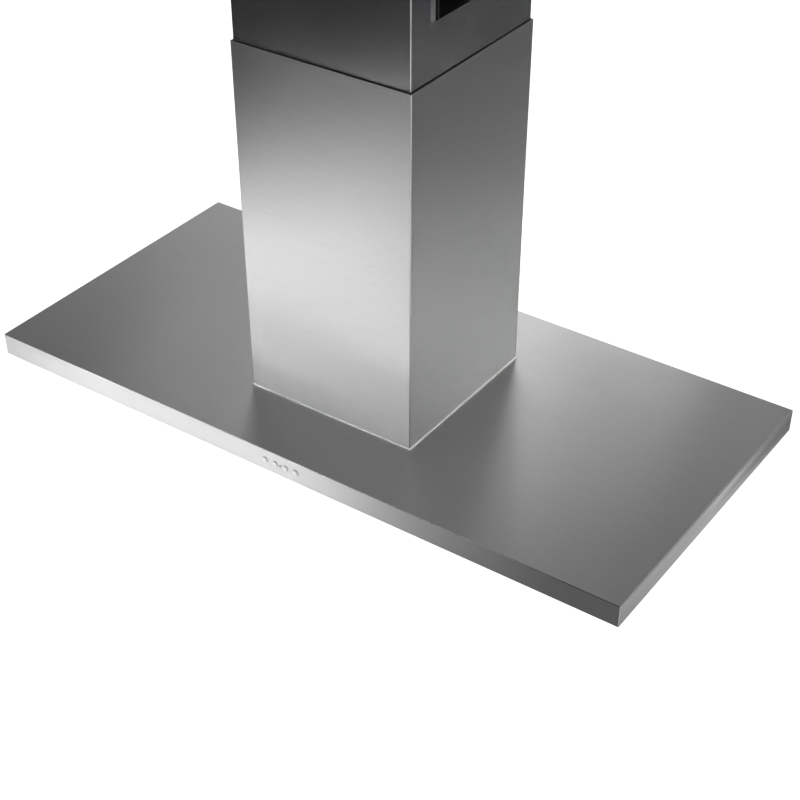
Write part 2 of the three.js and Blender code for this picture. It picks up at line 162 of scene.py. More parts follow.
def new_group(name, inputs, outputs, kind="ShaderNodeTree"):
    """An empty node group with named sockets: (name, type, default) inputs and (name, type) outputs."""
    group = bpy.data.node_groups.new(name, kind)
    for label, socket_type, default in inputs:
        socket = group.interface.new_socket(label, in_out="INPUT", socket_type=socket_type)
        if default is not None:
            socket.default_value = default
    for label, socket_type in outputs:
        group.interface.new_socket(label, in_out="OUTPUT", socket_type=socket_type)
    tree = Tree(group)
    return group, tree, tree.add("NodeGroupInput"), tree.add("NodeGroupOutput")


FLOAT, VECTOR = "NodeSocketFloat", "NodeSocketVector"
GEOMETRY, MATERIAL = "NodeSocketGeometry", "NodeSocketMaterial"


SOFTBOX_ANGLES = ("Azimuth", "Half Width", "Elevation", "Half Height", "Side Blur", "Blur")


def softbox_group():
    """A soft-edged window of light in the sky, by compass angle and height, all in radians."""
    inputs = [("Direction", VECTOR, None), *((name, FLOAT, 0.1) for name in SOFTBOX_ANGLES)]
    group, tree, take, give = new_group("Softbox", inputs, [("Light", FLOAT)])
    split = tree.add("ShaderNodeSeparateXYZ", {0: take.outputs["Direction"]})
    azimuth = tree.math("ARCTAN2", split.outputs["Y"], split.outputs["X"])
    turn = tree.math("WRAP", tree.math("SUBTRACT", azimuth, take.outputs["Azimuth"]), math.pi, -math.pi)
    height = tree.math("ARCSINE", split.outputs["Z"])
    rise = tree.math("SUBTRACT", height, take.outputs["Elevation"])

    def edge(value, half, blur):
        near, far = tree.math("SUBTRACT", half, blur), tree.math("ADD", half, blur)
        return tree.ramp(tree.math("ABSOLUTE", value), far, near, smooth=True)

    across = edge(turn, take.outputs["Half Width"], take.outputs["Side Blur"])
    along = edge(rise, take.outputs["Half Height"], take.outputs["Blur"])
    tree.feed(give.inputs["Light"], tree.math("MULTIPLY", across, along))
    return group


# Strength, compass angle and half width, height and half height, side blur, blur. Angles in degrees.
# A window with no blurs fades over its whole size.
SOFTBOXES = (
    (0.87, -150, 12.5, 45, 16.5),
    (0.88, -125, 12.5, 45, 16.5),
    (0.08, 30, 12.5, 45, 16.5),
    (0.48, 55, 12.5, 12, 16.5),
    (0.58, 55, 12.5, 45, 16.5),
    (0.47, 80, 12.5, -60, 36.0),
    (0.5, 80, 12.5, 12, 16.5),
    (0.47, 80, 12.5, 45, 16.5),
    (0.15, 105, 10.0, -60, 36.0),
    (0.15, 125, 10.0, -60, 36.0),
    (0.09, 125, 10.0, 12, 16.5),
    (0.15, 145, 10.0, -60, 36.0),
    (0.18, 145, 10.0, 45, 16.5),
    (0.18, -20, 25.0, -45, 42.5),
    (0.79, -20, 25.0, 40, 42.5),
    (0.50, 180, 24, -8, 40, 10, 10),
    (0.45, 125, 34, -50, 34, 14, 10),
    (0.45, -70, 24, -28, 40, 10, 12),
    (1.20, -33, 24, -20, 22, 10, 10),
    (0.45, 20, 20, -20, 40, 10, 12),
    (0.55, 0, 180, -84, 22, 1, 8),
    (0.55, 0, 180, 88, 16, 1, 8),
)
# Walls of soft strips round the hood: name, compass angle, distance, column width, the rows' edges in height
# over the canopy, and the brightness of each column, from the lowest row up. Metres and degrees.
LIGHT_WALLS = (
    ("front left", -125, 1.15, 0.48, (-1.5, -1.0, -0.7, -0.5, -0.35, -0.2, -0.05, 0.1, 0.3), (
        (0.57, 0, 0, 0, 0, 0, 0, 0),
        (1.33, 2.82, 0.55, 1.71, 0.64, 0, 0, 0),
        (1.5, 2.3, 0.32, 0, 2.8, 0.5, 0, 0),
        (0.1, 0.51, 0, 0.02, 1.88, 0, 0, 0),
        (0.32, 0, 0, 0, 0, 0, 0, 0),
    )),
    ("back right", 55, 1.05, 0.6, (-1.4, -0.9, -0.6, -0.4, -0.2, 0.0, 0.2, 0.5), (
        (0.1, 0.45, 0.76, 0.23, 0, 0, 0),
        (0, 0.05, 0.07, 0, 0.05, 0.05, 0),
        (0.02, 0, 0.51, 2.27, 1.67, 0.64, 0.38),
    )),
    ("behind", 122, 1.25, 0.52, (-0.1, 0.15, 0.35, 0.55, 0.8, 1.1, 1.5), (
        (0.04, 0.1, 0.07, 0.1, 0.34, 0.81),
        (0.2, 0.96, 1.77, 2.07, 0, 0),
        (0.28, 0.97, 1.15, 1.19, 1.22, 1.55),
        (0.31, 0.85, 0.3, 0.13, 1.01, 0),
        (0.08, 0.34, 0.61, 0, 0, 0),
    )),
)
OWN_STRIP_DISTANCE = 1.15
# Strips that light one group of pieces alone: group, compass angle, sideways, width, bottom, top, brightness.
OWN_STRIPS = (
    ("flues", -125, 0, 1.2, -0.9, -0.65, 0.45),
    ("flues", -125, 0, 1.2, -0.65, -0.45, 0.98),
    ("flues", 55, 0, 1.2, -0.8, -0.5, 0.32),
    ("flues", 55, 0, 1.2, -0.5, -0.2, 0.4),
    ("upper flue", -125, 0, 1.3, -0.32, 0.05, 0.9),
    ("upper flue", 55, 0.2, 1.4, -0.3, 0.6, 0.07),
    ("base trim", -125, 0, 1.6, -1.2, 0.9, 0.75),
    ("base trim", 55, 0, 1.6, -1.2, 0.9, 0.5),
    ("canopy", -125, -0.4, 1.2, -1.0, -0.35, 0.5),
)
AMBIENT, LEAST_LIGHT = 0.02, 0.004
STUDIO_WALL, PLAIN_BACKDROP = (0.8, 0.8, 0.8, 1), (1, 1, 1, 1)
BACKDROP_GLOW = 1.05


def light_studio():
    """Soft light from all round, white where the camera looks past the hood."""
    world = bpy.data.worlds.new("studio")
    world.use_nodes = True
    world.node_tree.nodes.clear()
    tree = Tree(world.node_tree)
    direction = tree.add("ShaderNodeTexCoord").outputs["Generated"]
    group = softbox_group()
    light = AMBIENT
    for strength, *angles in SOFTBOXES:
        angles = angles if len(angles) == 6 else [*angles, angles[1], angles[3]]
        box = tree.add("ShaderNodeGroup", node_tree=group)
        tree.feed(box.inputs["Direction"], direction)
        for name, angle in zip(SOFTBOX_ANGLES, angles):
            box.inputs[name].default_value = rad(angle)
        light = tree.math("MULTIPLY_ADD", box.outputs["Light"], strength, light)
    light = tree.math("MAXIMUM", light, LEAST_LIGHT)
    seen = tree.add("ShaderNodeLightPath").outputs["Is Camera Ray"]
    studio = tree.add("ShaderNodeBackground", {"Color": STUDIO_WALL, "Strength": light})
    plain = tree.add("ShaderNodeBackground", {"Color": PLAIN_BACKDROP, "Strength": BACKDROP_GLOW})
    both = tree.add("ShaderNodeMixShader", {0: seen, 1: studio.outputs[0], 2: plain.outputs[0]})
    tree.add("ShaderNodeOutputWorld", {"Surface": both.outputs[0]})
    world.cycles.sampling_method = "MANUAL"
    world.cycles.sample_map_resolution = 512
    bpy.context.scene.world = world
    bpy.context.scene.view_settings.view_transform = "Standard"


def soft_strip(name, compass, distance, sideways, width, bottom, top, brightness):
    """An upright rectangle of light that faces the flue's axis. Its ends are heights over the canopy."""
    light = bpy.data.lights.new(name, "AREA")
    light.shape = "RECTANGLE"
    light.size, light.size_y = width, top - bottom
    light.energy = math.pi * width * (top - bottom) * brightness
    strip = bpy.data.objects.new(name, light)
    bpy.context.scene.collection.objects.link(strip)
    outward = Vector((math.cos(rad(compass)), math.sin(rad(compass)), 0))
    along = Vector((-outward.y, outward.x, 0))
    strip.location = outward * distance + along * sideways + Vector((0, 0, CANOPY_TOP + (bottom + top) / 2))
    strip.rotation_euler = outward.to_track_quat("Z", "Y").to_euler()
    strip.visible_camera = False
    return strip


def hang_strips():
    for name, compass, distance, width, edges, columns in LIGHT_WALLS:
        for place, column in enumerate(columns):
            sideways = (place - (len(columns) - 1) / 2) * width
            for bottom, top, brightness in zip(edges, edges[1:], column):
                if brightness:
                    place_and_size = (distance, sideways, width, bottom, top)
                    soft_strip(f"{name} strip", compass, *place_and_size, brightness)


def light_alone(group, receivers, blockers):
    """Soft light that reaches only some pieces and is shaded only by some."""
    lit, shading = (bpy.data.collections.new(f"{group} {use}") for use in ("lit", "shading"))
    for pieces, collection in ((receivers, lit), (blockers, shading)):
        for piece in pieces:
            collection.objects.link(piece)
    for name, compass, sideways, width, bottom, top, brightness in OWN_STRIPS:
        if name != group:
            continue
        place_and_size = (OWN_STRIP_DISTANCE, sideways, width, bottom, top)
        strip = soft_strip(f"{group} strip", compass, *place_and_size, brightness)
        strip.data.cycles.use_multiple_importance_sampling = False
        strip.light_linking.receiver_collection = lit
        strip.light_linking.blocker_collection = shading


FLOOR_HALF, FLOOR_HEIGHT = 30.0, -4.6


def lay_floor():
    """A plain pale floor, far below the hanging hood, bright enough to take no shadow."""
    mesh = bpy.data.meshes.new("floor")
    corners = [(x * FLOOR_HALF, y * FLOOR_HALF, 0) for x, y in ((-1, -1), (1, -1), (1, 1), (-1, 1))]
    mesh.from_pydata(corners, [], [(0, 1, 2, 3)])
    mesh.transform(Matrix.Translation((0, 0, FLOOR_HEIGHT)))
    floor = bpy.data.objects.new("floor", mesh)
    bpy.context.scene.collection.objects.link(floor)
    material = bpy.data.materials.new("pale floor")
    material.use_nodes = True
    surface = material.node_tree.nodes["Principled BSDF"]
    surface.inputs["Base Color"].default_value = (0.9, 0.9, 0.9, 1)
    surface.inputs["Roughness"].default_value = 0.9
    surface.inputs["Emission Color"].default_value = (1, 1, 1, 1)
    surface.inputs["Emission Strength"].default_value = BACKDROP_GLOW
    mesh.materials.append(material)
    floor.visible_glossy = floor.visible_diffuse = floor.visible_shadow = False


place_camera()
light_studio()
hang_strips()
lay_floor()


# ---- Effects that several materials share ----------------------------


def grain_group():
    """Fine brushed streaks along the X of Vector, which is in metres, with a slow unevenness."""
    inputs = [("Vector", VECTOR, None), ("Length", FLOAT, 22.0), ("Pitch", FLOAT, 1500.0)]
    group, tree, take, give = new_group("Brushed Grain", inputs, [("Streaks", FLOAT), ("Bands", FLOAT)])

    def streaks(length, pitch, detail):
        scale = tree.xyz(X=length, Y=pitch, Z=pitch)
        stretched = tree.vector("MULTIPLY", take.outputs["Vector"], scale)
        noise = tree.add("ShaderNodeTexNoise", {"Vector": stretched, "Scale": 1.0, "Detail": detail})
        return noise.outputs["Fac"]

    fine = streaks(take.outputs["Length"], take.outputs["Pitch"], 3.0)
    quarter = tree.math("MULTIPLY", take.outputs["Pitch"], 0.22)
    coarse = streaks(tree.math("MULTIPLY", take.outputs["Length"], 0.4), quarter, 2.0)
    both = tree.math("MULTIPLY_ADD", coarse, 0.15, tree.math("MULTIPLY", fine, 0.85))
    tree.feed(give.inputs["Streaks"], tree.ramp(both, 0.3, 0.7))
    tree.feed(give.inputs["Bands"], tree.ramp(coarse, 0.32, 0.68))
    return group


def handling_group():
    """Faint wiping marks and finger haze: 0 clean to 1 hazy."""
    inputs = [("Vector", VECTOR, None), ("Scale", FLOAT, 7.0), ("Amount", FLOAT, 0.5)]
    group, tree, take, give = new_group("Handling Haze", inputs, [("Haze", FLOAT)])
    cloud = tree.add("ShaderNodeTexNoise", {"Vector": take.outputs["Vector"], "Scale": take.outputs["Scale"]})
    cloud.inputs["Detail"].default_value = 6.0
    cloud.inputs["Distortion"].default_value = 1.2
    patches = tree.ramp(cloud.outputs["Fac"], 0.42, 0.72, smooth=True)
    tree.feed(give.inputs["Haze"], tree.math("MULTIPLY", patches, take.outputs["Amount"]))
    return group


def pitting_group():
    """Small pits and scratches, for moulded and cast skins."""
    inputs = [("Vector", VECTOR, None), ("Scale", FLOAT, 900.0)]
    group, tree, take, give = new_group("Moulded Skin", inputs, [("Height", FLOAT), ("Mottle", FLOAT)])
    fine = tree.add("ShaderNodeTexNoise", {"Vector": take.outputs["Vector"], "Scale": take.outputs["Scale"]})
    fine.inputs["Detail"].default_value = 4.0
    broad = tree.add("ShaderNodeTexNoise", {"Vector": take.outputs["Vector"], "Scale": 22.0, "Detail": 5.0})
    tree.feed(give.inputs["Height"], fine.outputs["Fac"])
    tree.feed(give.inputs["Mottle"], tree.ramp(broad.outputs["Fac"], 0.35, 0.68))
    return group


def spangle_group():
    """The crystal pattern of hot-dip zinc."""
    inputs = [("Vector", VECTOR, None), ("Scale", FLOAT, 70.0)]
    group, tree, take, give = new_group("Zinc Spangle", inputs, [("Spangle", FLOAT), ("Edges", FLOAT)])
    at = {name: take.outputs[name] for name in ("Vector", "Scale")}
    cells = tree.add("ShaderNodeTexVoronoi", at)
    edges = tree.add("ShaderNodeTexVoronoi", at, feature="DISTANCE_TO_EDGE")
    shade = tree.add("ShaderNodeSeparateXYZ", {0: cells.outputs["Color"]})
    tree.feed(give.inputs["Spangle"], shade.outputs["X"])
    tree.feed(give.inputs["Edges"], tree.ramp(edges.outputs["Distance"], 0.0, 0.06))
    return group


GRAIN, HAZE, SKIN, SPANGLE = grain_group(), handling_group(), pitting_group(), spangle_group()


def new_material(name, **constants):
    """A material with its Principled surface, its node tree and the object coordinates."""
    material = bpy.data.materials.new(name)
    material.use_nodes = True
    tree = Tree(material.node_tree)
    surface = tree.nodes["Principled BSDF"]
    for socket, value in constants.items():
        surface.inputs[socket.replace("_", " ")].default_value = value
    coordinates = tree.add("ShaderNodeTexCoord")
    return material, tree, surface, coordinates


def use(tree, group, **inputs):
    node = tree.add("ShaderNodeGroup", node_tree=group)
    for name, value in inputs.items():
        tree.feed(node.inputs[name.replace("_", " ")], value)
    return node


def bump(tree, surface, height, distance, strength=1.0):
    node = tree.add("ShaderNodeBump", {"Height": height, "Distance": distance, "Strength": strength})
    tree.feed(surface.inputs["Normal"], node.outputs["Normal"])


def tint(tree, surface, tone, blue=None):
    """Feeds an even grey tone to the surface's colour, with its blue scaled."""
    colour = tree.add("ShaderNodeCombineColor", {"Red": tone, "Green": tone, "Blue": tone})
    if blue:
        tree.feed(colour.inputs["Blue"], tree.math("MULTIPLY", tone, blue))
    tree.feed(surface.inputs["Base Color"], colour.outputs[0])


def brushed_steel(name, lengthwise=False, shade=0.62, roughness=0.3, anisotropy=0.6, spread=0.05):
    """Stainless brushed one way: level round a flue, or lengthwise along the canopy."""
    tangent_axis, turn = ("X", 0.0) if lengthwise else ("Z", 0.25)
    material, tree, surface, at = new_material(
        name, Metallic=1.0, Anisotropic=anisotropy, Anisotropic_Rotation=turn
    )
    split = tree.add("ShaderNodeSeparateXYZ", {0: at.outputs["Object"]})
    x, y, z = (split.outputs[axis] for axis in "XYZ")
    if lengthwise:
        past = CANOPY_HIGH.x - 0.001
        end_face = tree.ramp(tree.math("ABSOLUTE", x), past - 0.0004, past)
        main, side = tree.xyz(X=x, Y=tree.math("ADD", y, z)), tree.xyz(X=y, Y=z)
        mixed = tree.add("ShaderNodeMix", {"Factor": end_face, 4: main, 5: side}, data_type="VECTOR")
        lie = mixed.outputs[1]
    else:
        lie = tree.xyz(X=tree.math("ADD", x, y), Y=z)
    grain = use(tree, GRAIN, Vector=lie)
    haze = use(tree, HAZE, Vector=at.outputs["Object"], Amount=0.6)
    streaks = grain.outputs["Streaks"]
    tone = tree.ramp(streaks, 0.0, 1.0, shade - 0.035, shade + 0.035)
    tone = tree.math("MULTIPLY_ADD", grain.outputs["Bands"], 0.012, tree.math("SUBTRACT", tone, 0.006))
    tint(tree, surface, tone)
    rough = tree.ramp(streaks, 0.0, 1.0, roughness - spread / 2, roughness + spread / 2)
    rough = tree.math("MULTIPLY_ADD", haze.outputs["Haze"], 0.035, rough)
    tree.feed(surface.inputs["Roughness"], rough)
    bump(tree, surface, streaks, 0.00001, 0.35)
    tangent = tree.add("ShaderNodeTangent", direction_type="RADIAL", axis=tangent_axis)
    tree.feed(surface.inputs["Tangent"], tangent.outputs["Tangent"])
    return material


def polished_metal(name, shade, roughness=0.08):
    """Turned or buffed bright metal with hairline scratches."""
    material, tree, surface, at = new_material(name, Metallic=1.0)
    grain = use(tree, GRAIN, Vector=at.outputs["Object"], Length=600.0, Pitch=2600.0)
    haze = use(tree, HAZE, Vector=at.outputs["Object"], Scale=90.0, Amount=0.5)
    tone = tree.ramp(grain.outputs["Streaks"], 0.0, 1.0, shade - 0.03, shade + 0.02)
    tint(tree, surface, tone)
    tree.feed(surface.inputs["Roughness"], tree.math("MULTIPLY_ADD", haze.outputs["Haze"], 0.1, roughness))
    bump(tree, surface, grain.outputs["Streaks"], 0.000006, 0.3)
    return material


def zinc_sheet(name):
    material, tree, surface, at = new_material(name, Metallic=1.0)
    zinc = use(tree, SPANGLE, Vector=at.outputs["Object"])
    haze = use(tree, HAZE, Vector=at.outputs["Object"], Scale=34.0, Amount=0.35)
    tone = tree.ramp(zinc.outputs["Spangle"], 0.0, 1.0, 0.46, 0.60)
    tone = tree.math("MULTIPLY_ADD", haze.outputs["Haze"], -0.06, tone)
    tint(tree, surface, tone, blue=1.03)
    rough = tree.ramp(zinc.outputs["Spangle"], 0.0, 1.0, 0.34, 0.48)
    tree.feed(surface.inputs["Roughness"], tree.math("MULTIPLY_ADD", haze.outputs["Haze"], 0.12, rough))
    bump(tree, surface, zinc.outputs["Edges"], 0.00003, 0.4)
    return material


def aluminium(name, shade=0.7, roughness=0.33, pitch=500.0):
    material, tree, surface, at = new_material(name, Metallic=1.0)
    grain = use(tree, GRAIN, Vector=at.outputs["Object"], Length=6.0, Pitch=pitch)
    haze = use(tree, HAZE, Vector=at.outputs["Object"], Scale=24.0, Amount=0.7)
    tone = tree.ramp(grain.outputs["Bands"], 0.0, 1.0, shade - 0.05, shade + 0.03)
    tint(tree, surface, tone, blue=1.015)
    tree.feed(surface.inputs["Roughness"], tree.math("MULTIPLY_ADD", haze.outputs["Haze"], 0.15, roughness))
    bump(tree, surface, grain.outputs["Streaks"], 0.00002, 0.3)
    return material


def moulded_plastic(name, colour, roughness, relief=0.00003, scale=900.0):
    material, tree, surface, at = new_material(name)
    skin = use(tree, SKIN, Vector=at.outputs["Object"], Scale=scale)
    dark = (*(channel * 0.78 for channel in colour), 1)
    light = (*(min(1, channel * 1.12) for channel in colour), 1)
    tree.feed(surface.inputs["Base Color"], tree.mix(skin.outputs["Mottle"], dark, light))
    rough = tree.ramp(skin.outputs["Mottle"], 0.0, 1.0, roughness - 0.05, roughness + 0.07)
    tree.feed(surface.inputs["Roughness"], rough)
    bump(tree, surface, skin.outputs["Height"], relief, 0.6)
    return material


def lens_plastic(name, coat, scale, dark, light, smooth, rough, relief=None):
    """A clear-coated lens skin whose colour and roughness are slightly mottled."""
    material, tree, surface, at = new_material(name, IOR=1.49, Coat_Weight=coat)
    skin = use(tree, SKIN, Vector=at.outputs["Object"], Scale=scale)
    tree.feed(surface.inputs["Base Color"], tree.mix(skin.outputs["Mottle"], dark, light))
    tree.feed(surface.inputs["Roughness"], tree.ramp(skin.outputs["Height"], 0.3, 0.7, smooth, rough))
    if relief:
        bump(tree, surface, skin.outputs["Height"], relief, 0.5)
    return material


FLUE_STEEL = brushed_steel("flue brushed steel")
# a darker copy of the flue steel: painted shade on the upper flue
SHADED_FLUE_STEEL = brushed_steel("upper flue steel with painted shade", shade=0.52, roughness=0.17, spread=0.03)
CANOPY_STEEL = brushed_steel("canopy brushed steel", True, roughness=0.37, anisotropy=0.75)
PANEL_STEEL = brushed_steel("underside brushed steel", True, roughness=0.4)
# lighter than the brushed steel: partly polished edge wear, partly a painted highlight along the folds
FOLD_STEEL = polished_metal("folded edge", 0.68, 0.16)
SATIN = polished_metal("satin turned steel", 0.83, 0.4)
# near-white tone, far lighter than the flue steel: a painted highlight line along the flue's base collar
HIGHLIT_TRIM_STEEL = polished_metal("satin trim steel with painted highlight", 0.95, 0.42)
BRIGHT = polished_metal("bright turned steel", 0.8)
ZINC = zinc_sheet("zinc coated sheet")
ALUMINIUM = aluminium("mill aluminium")
FILTER_WIRE = aluminium("filter strand", 0.74, 0.28, 900.0)
BLACK = moulded_plastic("black moulding", (0.018, 0.018, 0.019), 0.5)
GREY = moulded_plastic("grey moulding", (0.12, 0.125, 0.13), 0.45)
WHITE = moulded_plastic("white moulding", (0.72, 0.72, 0.69), 0.4)
CHARCOAL = moulded_plastic("charcoal cartridge", (0.03, 0.03, 0.03), 0.75, 0.0004, 260.0)
LENS = lens_plastic(
    "frosted lamp lens", 0.6, 500.0, (0.80, 0.79, 0.76, 1), (0.9, 0.89, 0.86, 1), 0.22, 0.36, 0.0001
)
INDICATOR = lens_plastic(
    "indicator lens", 0.5, 2500.0, (0.10, 0.10, 0.105, 1), (0.16, 0.16, 0.165, 1), 0.12, 0.25
)
SCREW = polished_metal("screw steel", 0.62, 0.22)


# The look of each material slot in the record, for a node that has no look of its own.
SLOT_LOOKS = {
    "brushed_stainless": PANEL_STEEL,
    "polished_trim": BRIGHT,
    "galvanised_steel": ZINC,
    "aluminium": ALUMINIUM,
    "black_plastic": BLACK,
    "grey_plastic": GREY,
    "white_plastic": WHITE,
    "lamp_diffuser": LENS,
    "charcoal_cartridge": CHARCOAL,
}


# ---- Meshes ----------------------------------------------------------


def new_piece(name, mesh, body, slot, *materials, replaces=()):
    piece = bpy.data.objects.new(name, mesh)
    bpy.context.scene.collection.objects.link(piece)
    for place, material in enumerate(materials):
        if place < len(mesh.materials):
            mesh.materials[place] = material
        else:
            mesh.materials.append(material)
    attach(piece, body)
    if replaces:
        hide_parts(*replaces)
    return piece


def slot_of(node):
    return NODES[node].material_slots[0].name.split(".")[0]


def dress(node, mesh, name, *materials):
    """A mesh that stands for a CAD node, on its body; without materials given it takes the look of the node's
    material slot.
    """
    slot = slot_of(node)
    materials = materials or [SLOT_LOOKS[slot]]
    return new_piece(name, mesh, body_of(NODES[node])[0], slot, *materials, replaces=[node])


def finished(bm, name, smooth_below=35):
    """The bmesh as a mesh, with soft bends smooth and real edges sharp."""
    bmesh.ops.recalc_face_normals(bm, faces=bm.faces)
    for face in bm.faces:
        face.smooth = True
    mesh = bpy.data.meshes.new(name)
    bm.to_mesh(mesh)
    bm.free()
    mesh.set_sharp_from_angle(angle=rad(smooth_below))
    return mesh


def modified(mesh, *modifiers):
    """The mesh with modifiers applied, each given as (type, {setting: value})."""
    scratch = bpy.data.objects.new("scratch", mesh)
    bpy.context.scene.collection.objects.link(scratch)
    for kind, settings in modifiers:
        modifier = scratch.modifiers.new(kind.lower(), kind)
        for key, value in settings.items():
            setattr(modifier, key, value)
    shaped = bpy.data.meshes.new_from_object(scratch.evaluated_get(bpy.context.evaluated_depsgraph_get()))
    bpy.data.objects.remove(scratch)
    return shaped


WEIGHTED = ("WEIGHTED_NORMAL", {"keep_sharp": True, "mode": "FACE_AREA"})


def solid_copy(node):
    """A CAD node as a merged bmesh with its flat faces whole again."""
    bm = bmesh.new()
    bm.from_mesh(NODES[node].data)
    bmesh.ops.remove_doubles(bm, verts=bm.verts, dist=1e-6)
    bmesh.ops.dissolve_limit(bm, angle_limit=rad(0.5), verts=bm.verts, edges=bm.edges)
    return bm


def softened(node, width, fold=None, fold_width=None, segments=2, wear_and_highlight=False):
    """A CAD node with every edge eased, and the edges that fold() picks bent to a larger radius.

    The last flag puts the bends in a second material slot, a brighter polished steel: partly edge wear,
    partly a painted highlight along the folds.
    """
    bm = solid_copy(node)
    largest = fold_width or width
    weights = bm.edges.layers.float.new("bevel_weight_edge")
    for edge in bm.edges:
        if len(edge.link_faces) == 2 and edge.calc_face_angle(0) > rad(30):
            edge[weights] = 1.0 if fold and fold(edge) else width / largest
    mesh = finished(bm, node)
    if wear_and_highlight:
        for _ in range(2):
            mesh.materials.append(None)
    bent = 1 if wear_and_highlight else -1
    bevel = {"width": largest, "segments": segments, "limit_method": "WEIGHT", "material": bent}
    return modified(mesh, ("BEVEL", bevel), WEIGHTED)


def eased(node, name, width, segments=2):
    """A CAD node with its edges eased by width, in millimetres."""
    dress(node, softened(node, width * MM, segments=segments), name)


def circle(bm, radii, height):
    """A loop of vertices round Z at a height, one for each radius."""
    angles = [2 * math.pi * i / len(radii) for i in range(len(radii))]
    return [bm.verts.new((r * math.cos(a), r * math.sin(a), height)) for r, a in zip(radii, angles)]


def lathe(name, profile, sides=48, ring=False):
    """A profile of (radius, height) turned about Z.

    ring closes the profile on itself, otherwise it starts and ends on the axis.
    """
    bm = bmesh.new()
    loops = []
    for radius, height in profile:
        loops.append(circle(bm, [radius] * sides, height) if radius else [bm.verts.new((0, 0, height))])
    pairs = list(zip(loops, loops[1:]))
    if ring:
        pairs.append((loops[-1], loops[0]))
    for low, high in pairs:
        for i in range(sides):
            j = (i + 1) % sides
            corners = [low[i % len(low)], low[j % len(low)], high[j % len(high)], high[i % len(high)]]
            corners = list(dict.fromkeys(corners))
            bm.faces.new(corners)
    return finished(bm, name)


def placed(mesh, at=(0, 0, 0), towards=(0, 0, 1)):
    """The mesh with its Z axis turned to face towards, and moved."""
    turn = Vector(towards).to_track_quat("Z", "Y").to_matrix().to_4x4()
    mesh.transform(Matrix.Translation(at) @ turn)
    return mesh


def joined(name, meshes):
    """Several meshes as one."""
    bm = bmesh.new()
    for mesh in meshes:
        bm.from_mesh(mesh)
    whole = bpy.data.meshes.new(name)
    bm.to_mesh(whole)
    bm.free()
    return whole


def is_upright(edge):
    a, b = (vertex.co for vertex in edge.verts)
    return abs((b - a).normalized().z) > 0.99


# ---- Screws, ribs and filter strands made by geometry nodes ----------


def screw_head(sides=12):
    """A pan head with a cross recess, one metre in radius, sitting on z = 0."""
    bm = bmesh.new()
    head = [(1.0, 0.0), (1.0, 0.28), (0.82, 0.5), (0.58, 0.6)]
    cross = [0.5 if i % 3 == 0 else 0.17 for i in range(sides)]
    loops = [circle(bm, [radius] * sides, height) for radius, height in head]
    loops += [circle(bm, cross, height) for height in (0.6, 0.2)]
    for low, high in zip(loops, loops[1:]):
        for i in range(sides):
            j = (i + 1) % sides
            bm.faces.new((low[i], low[j], high[j], high[i]))
    bm.faces.new(loops[-1])
    bm.faces.new(reversed(loops[0]))
    return finished(bm, "screw head", 40)


def set_out_group():
    """Copies of Part on every point, its Z along the point's "facing", turned by chance about it."""
    inputs = [
        ("Geometry", GEOMETRY, None),
        ("Part", "NodeSocketObject", None),
        ("Size", FLOAT, 0.004),
        ("Turn", FLOAT, 3.14),
        ("Seed", "NodeSocketInt", 3),
        ("Material", MATERIAL, None),
    ]
    outputs = [("Geometry", GEOMETRY)]
    group, tree, take, give = new_group("Set Out", inputs, outputs, "GeometryNodeTree")
    facing = tree.add("GeometryNodeInputNamedAttribute", {"Name": "facing"}, data_type="FLOAT_VECTOR")
    upright = tree.add("FunctionNodeAlignRotationToVector", {"Vector": facing.outputs["Attribute"]}, axis="Z")
    part = tree.add("GeometryNodeObjectInfo", {"Object": take.outputs["Part"]})
    copies = tree.add("GeometryNodeInstanceOnPoints", {"Points": take.outputs["Geometry"]})
    tree.feed(copies.inputs["Instance"], part.outputs["Geometry"])
    tree.feed(copies.inputs["Rotation"], upright.outputs[0])
    tree.feed(copies.inputs["Scale"], take.outputs["Size"])
    chance = tree.add("FunctionNodeRandomValue", data_type="FLOAT")
    chance.inputs[2].default_value = 0.0
    tree.feed(chance.inputs[3], take.outputs["Turn"])
    tree.feed(chance.inputs["Seed"], take.outputs["Seed"])
    turned = tree.add("GeometryNodeRotateInstances", {"Instances": copies.outputs[0]})
    tree.feed(turned.inputs["Rotation"], tree.xyz(Z=chance.outputs[1]))
    real = tree.add("GeometryNodeRealizeInstances", {0: turned.outputs[0]})
    dressed = tree.add("GeometryNodeSetMaterial", {"Geometry": real.outputs[0]})
    tree.feed(dressed.inputs["Material"], take.outputs["Material"])
    tree.feed(give.inputs["Geometry"], dressed.outputs[0])
    return group


